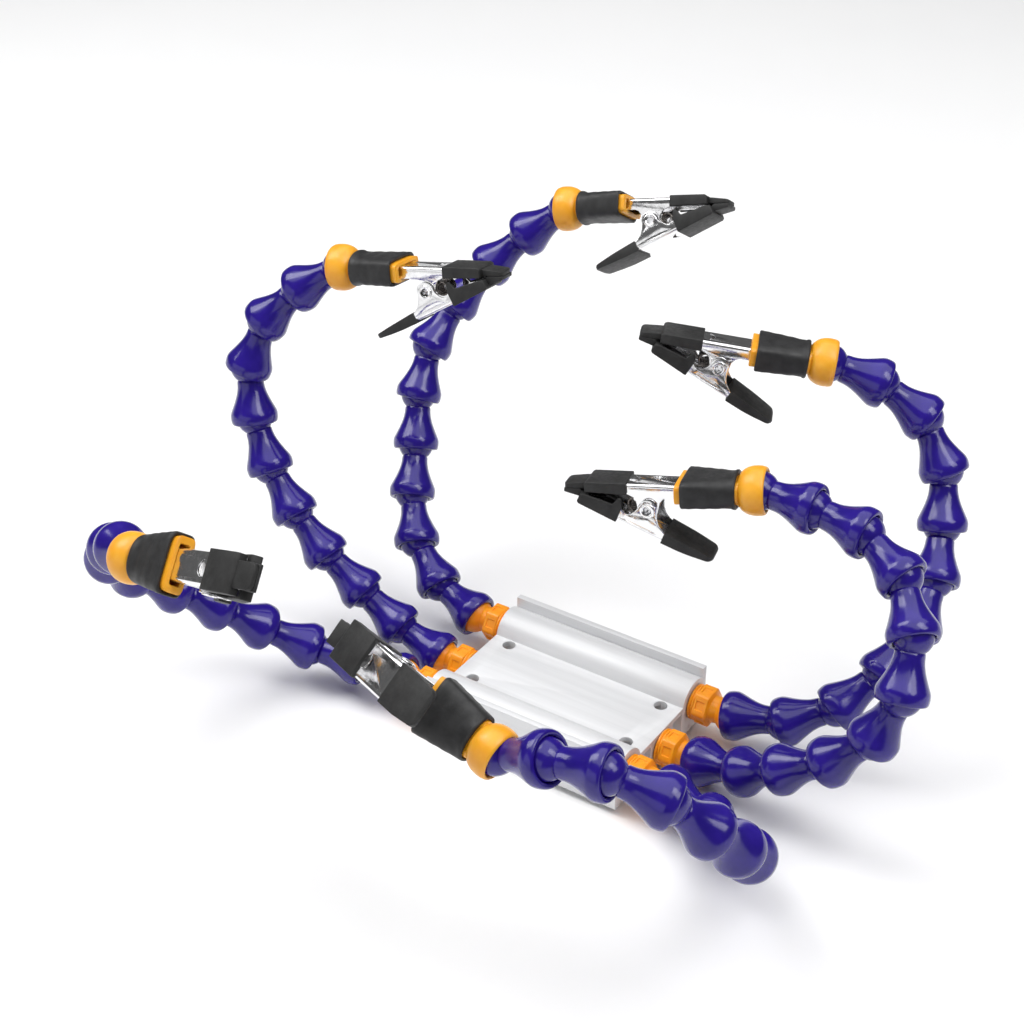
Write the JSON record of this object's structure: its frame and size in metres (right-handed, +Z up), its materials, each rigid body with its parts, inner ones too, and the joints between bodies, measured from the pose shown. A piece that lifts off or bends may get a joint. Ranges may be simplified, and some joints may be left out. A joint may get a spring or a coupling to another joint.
{
  "type": "helping hands clamp",
  "caption": "Bench holder with a flat extruded base and bendable ball-and-socket hose arms, each ending in a sprung alligator clip with rubber-covered jaws.",
  "frame": {"origin": "centre of the base's flat underside; the rubber feet reach 2.6 mm below it", "axes": "+X along the base, from the left row of fittings to the right one, +Y towards the back, +Z up"},
  "size_m": [0.2697, 0.2448, 0.1488],
  "materials": {
    "aluminium": "satin, faint lengthwise extrusion lines",
    "rubber": "matte",
    "orange_plastic": "glossy",
    "blue_plastic": "glossy",
    "yellow_plastic": "satin gloss",
    "black_plastic": "matte",
    "bright_steel": "bright plated"
  },
  "bodies": {
    "stand": {"base": "aluminium", "foot_left_front": "rubber", "foot_left_back": "rubber", "foot_right_front": "rubber", "foot_right_back": "rubber", "left_back_connector": "orange_plastic", "left_middle_connector": "orange_plastic", "left_front_connector": "orange_plastic", "right_back_connector": "orange_plastic", "right_middle_connector": "orange_plastic", "right_front_connector": "orange_plastic"},
    "left_back_lower": {"left_back_hose_lower": "blue_plastic"},
    "left_back_middle": {"left_back_hose_middle": "blue_plastic"},
    "left_back_upper": {"left_back_hose_upper": "blue_plastic"},
    "left_back_tip": {"left_back_nozzle": "yellow_plastic", "left_back_sleeve": "black_plastic", "left_back_fixed_jaw": "bright_steel", "left_back_spring": "bright_steel"},
    "left_back_jaw": {"left_back_moving_jaw": "bright_steel"},
    "left_middle_lower": {"left_middle_hose_lower": "blue_plastic"},
    "left_middle_middle": {"left_middle_hose_middle": "blue_plastic"},
    "left_middle_upper": {"left_middle_hose_upper": "blue_plastic"},
    "left_middle_tip": {"left_middle_nozzle": "yellow_plastic", "left_middle_sleeve": "black_plastic", "left_middle_fixed_jaw": "bright_steel", "left_middle_spring": "bright_steel"},
    "left_middle_jaw": {"left_middle_moving_jaw": "bright_steel"},
    "left_front_lower": {"left_front_hose_lower": "blue_plastic"},
    "left_front_middle": {"left_front_hose_middle": "blue_plastic"},
    "left_front_upper": {"left_front_hose_upper": "blue_plastic"},
    "left_front_tip": {"left_front_nozzle": "yellow_plastic", "left_front_sleeve": "black_plastic", "left_front_fixed_jaw": "bright_steel", "left_front_spring": "bright_steel"},
    "left_front_jaw": {"left_front_moving_jaw": "bright_steel"},
    "right_back_lower": {"right_back_hose_lower": "blue_plastic"},
    "right_back_middle": {"right_back_hose_middle": "blue_plastic"},
    "right_back_upper": {"right_back_hose_upper": "blue_plastic"},
    "right_back_tip": {"right_back_nozzle": "yellow_plastic", "right_back_sleeve": "black_plastic", "right_back_fixed_jaw": "bright_steel", "right_back_spring": "bright_steel"},
    "right_back_jaw": {"right_back_moving_jaw": "bright_steel"},
    "right_middle_lower": {"right_middle_hose_lower": "blue_plastic"},
    "right_middle_middle": {"right_middle_hose_middle": "blue_plastic"},
    "right_middle_upper": {"right_middle_hose_upper": "blue_plastic"},
    "right_middle_tip": {"right_middle_nozzle": "yellow_plastic", "right_middle_sleeve": "black_plastic", "right_middle_fixed_jaw": "bright_steel", "right_middle_spring": "bright_steel"},
    "right_middle_jaw": {"right_middle_moving_jaw": "bright_steel"},
    "right_front_lower": {"right_front_hose_lower": "blue_plastic"},
    "right_front_middle": {"right_front_hose_middle": "blue_plastic"},
    "right_front_upper": {"right_front_hose_upper": "blue_plastic"},
    "right_front_tip": {"right_front_nozzle": "yellow_plastic", "right_front_sleeve": "black_plastic", "right_front_fixed_jaw": "bright_steel", "right_front_spring": "bright_steel"},
    "right_front_jaw": {"right_front_moving_jaw": "bright_steel"}
  },
  "joints": [
    {"name": "left_back_base_ball", "type": "hinge", "parent": "stand", "child": "left_back_lower", "pos_m": [-0.0515, 0.0216, 0.0106], "axis": [0, 0.8971, -0.4419], "range_deg": [-15, 5]},
    {"name": "left_back_lower_ball", "type": "hinge", "parent": "left_back_lower", "child": "left_back_middle", "pos_m": [-0.09166, 0.04063, 0.03727], "axis": [0.1324, 0.7928, -0.5949], "range_deg": [-15, 5]},
    {"name": "left_back_upper_ball", "type": "hinge", "parent": "left_back_middle", "child": "left_back_upper", "pos_m": [-0.09952, 0.08152, 0.09422], "axis": [0.1235, 0.7196, -0.6833], "range_deg": [-15, 5]},
    {"name": "left_back_tip_ball", "type": "hinge", "parent": "left_back_upper", "child": "left_back_tip", "pos_m": [-0.06791, 0.10471, 0.13044], "axis": [-0.1333, 0.9544, -0.2671], "range_deg": [-15, 0]},
    {"name": "left_back_jaw_rivet", "type": "hinge", "parent": "left_back_tip", "child": "left_back_jaw", "pos_m": [-0.03329, 0.10818, 0.13229], "axis": [-0.056, 0.8442, -0.5332], "range_deg": [0, 25], "stiffness_Nm_per_rad": 0.05, "springref_deg": -28.65, "deforming": ["left_back_spring"]},
    {"name": "left_middle_base_ball", "type": "hinge", "parent": "stand", "child": "left_middle_lower", "pos_m": [-0.0515, 0, 0.0063], "axis": [0, 0.9999, -0.0104], "range_deg": [-15, 5]},
    {"name": "left_middle_lower_ball", "type": "hinge", "parent": "left_middle_lower", "child": "left_middle_middle", "pos_m": [-0.09889, -0.0011, 0.03178], "axis": [-0.4181, 0.7521, -0.5095], "range_deg": [-15, 5]},
    {"name": "left_middle_upper_ball", "type": "hinge", "parent": "left_middle_middle", "child": "left_middle_upper", "pos_m": [-0.13782, 0.00995, 0.08939], "axis": [-0.1657, 0.9473, -0.2742], "range_deg": [-15, 0]},
    {"name": "left_middle_tip_ball", "type": "hinge", "parent": "left_middle_upper", "child": "left_middle_tip", "pos_m": [-0.10782, 0.02652, 0.12871], "axis": [-0.1057, 0.9313, -0.3486], "range_deg": [-15, 3]},
    {"name": "left_middle_jaw_rivet", "type": "hinge", "parent": "left_middle_tip", "child": "left_middle_jaw", "pos_m": [-0.07332, 0.03133, 0.12831], "axis": [-0.1376, 0.9707, -0.1971], "range_deg": [0, 25], "stiffness_Nm_per_rad": 0.05, "springref_deg": -28.65, "deforming": ["left_middle_spring"]},
    {"name": "left_front_base_ball", "type": "hinge", "parent": "stand", "child": "left_front_lower", "pos_m": [-0.0515, -0.0216, 0.0106], "axis": [0, -0.4624, 0.8867], "range_deg": [-15, 5]},
    {"name": "left_front_lower_ball", "type": "hinge", "parent": "left_front_lower", "child": "left_front_middle", "pos_m": [-0.10018, -0.03568, 0.02042], "axis": [-0.0728, 0.7396, 0.6691], "range_deg": [-15, 5]},
    {"name": "left_front_upper_ball", "type": "hinge", "parent": "left_front_middle", "child": "left_front_upper", "pos_m": [-0.11877, -0.0832, 0.06863], "axis": [-0.2347, 0.7107, 0.6632], "range_deg": [-15, 0]},
    {"name": "left_front_tip_ball", "type": "hinge", "parent": "left_front_upper", "child": "left_front_tip", "pos_m": [-0.08158, -0.10892, 0.09762], "axis": [-0.2972, 0.2399, 0.9242], "range_deg": [-15, 5]},
    {"name": "left_front_jaw_rivet", "type": "hinge", "parent": "left_front_tip", "child": "left_front_jaw", "pos_m": [-0.04772, -0.1104, 0.10568], "axis": [-0.1429, 0.6748, 0.7241], "range_deg": [0, 25], "stiffness_Nm_per_rad": 0.05, "springref_deg": -28.65, "deforming": ["left_front_spring"]},
    {"name": "right_back_base_ball", "type": "hinge", "parent": "stand", "child": "right_back_lower", "pos_m": [0.0515, 0.0216, 0.0106], "axis": [0, -0.8775, 0.4795], "range_deg": [-15, 5]},
    {"name": "right_back_lower_ball", "type": "hinge", "parent": "right_back_lower", "child": "right_back_middle", "pos_m": [0.0937, 0.04026, 0.03395], "axis": [-0.1603, -0.6437, 0.7483], "range_deg": [-15, 5]},
    {"name": "right_back_upper_ball", "type": "hinge", "parent": "right_back_middle", "child": "right_back_upper", "pos_m": [0.08811, 0.08802, 0.08409], "axis": [0.5417, -0.6875, 0.4837], "range_deg": [-15, 5]},
    {"name": "right_back_tip_ball", "type": "hinge", "parent": "right_back_upper", "child": "right_back_tip", "pos_m": [0.04743, 0.08088, 0.11446], "axis": [0.4095, -0.907, 0.0986], "range_deg": [-15, 5]},
    {"name": "right_back_jaw_rivet", "type": "hinge", "parent": "right_back_tip", "child": "right_back_jaw", "pos_m": [0.01593, 0.06623, 0.11187], "axis": [0.4105, -0.9039, 0.1204], "range_deg": [0, 25], "stiffness_Nm_per_rad": 0.05, "springref_deg": -28.65, "deforming": ["right_back_spring"]},
    {"name": "right_middle_base_ball", "type": "hinge", "parent": "stand", "child": "right_middle_lower", "pos_m": [0.0515, 0, 0.0063], "axis": [0, -0.8695, -0.4939], "range_deg": [-15, 5]},
    {"name": "right_middle_lower_ball", "type": "hinge", "parent": "right_middle_lower", "child": "right_middle_middle", "pos_m": [0.09784, -0.00696, 0.03244], "axis": [-0.2545, -0.885, 0.3898], "range_deg": [-15, 5]},
    {"name": "right_middle_upper_ball", "type": "hinge", "parent": "right_middle_middle", "child": "right_middle_upper", "pos_m": [0.10432, 0.01816, 0.08853], "axis": [0.0339, -0.665, 0.7461], "range_deg": [-15, 0]},
    {"name": "right_middle_tip_ball", "type": "hinge", "parent": "right_middle_upper", "child": "right_middle_tip", "pos_m": [0.05247, 0.02622, 0.09623], "axis": [-0.0069, -0.3526, 0.9358], "range_deg": [-15, 5]},
    {"name": "right_middle_jaw_rivet", "type": "hinge", "parent": "right_middle_tip", "child": "right_middle_jaw", "pos_m": [0.021, 0.01517, 0.08616], "axis": [0.2769, -0.9454, 0.1718], "range_deg": [0, 25], "stiffness_Nm_per_rad": 0.05, "springref_deg": -28.65, "deforming": ["right_middle_spring"]},
    {"name": "right_front_base_ball", "type": "hinge", "parent": "stand", "child": "right_front_lower", "pos_m": [0.0515, -0.0216, 0.0106], "axis": [0, -0.0153, -0.9999], "range_deg": [-15, 5]},
    {"name": "right_front_lower_ball", "type": "hinge", "parent": "right_front_lower", "child": "right_front_middle", "pos_m": [0.09343, -0.04805, 0.02413], "axis": [-0.2209, -0.7371, -0.6387], "range_deg": [-15, 5]},
    {"name": "right_front_upper_ball", "type": "hinge", "parent": "right_front_middle", "child": "right_front_upper", "pos_m": [0.0895, -0.09325, 0.07595], "axis": [0.1183, -0.8504, -0.5127], "range_deg": [-15, 0]},
    {"name": "right_front_tip_ball", "type": "hinge", "parent": "right_front_upper", "child": "right_front_tip", "pos_m": [0.03941, -0.09975, 0.07368], "axis": [0.1056, 0.991, -0.0825], "range_deg": [-15, 0]},
    {"name": "right_front_jaw_rivet", "type": "hinge", "parent": "right_front_tip", "child": "right_front_jaw", "pos_m": [0.00638, -0.10002, 0.08478], "axis": [0.2275, 0.6841, 0.693], "range_deg": [0, 25], "stiffness_Nm_per_rad": 0.05, "springref_deg": -28.65, "deforming": ["right_front_spring"]}
  ]
}
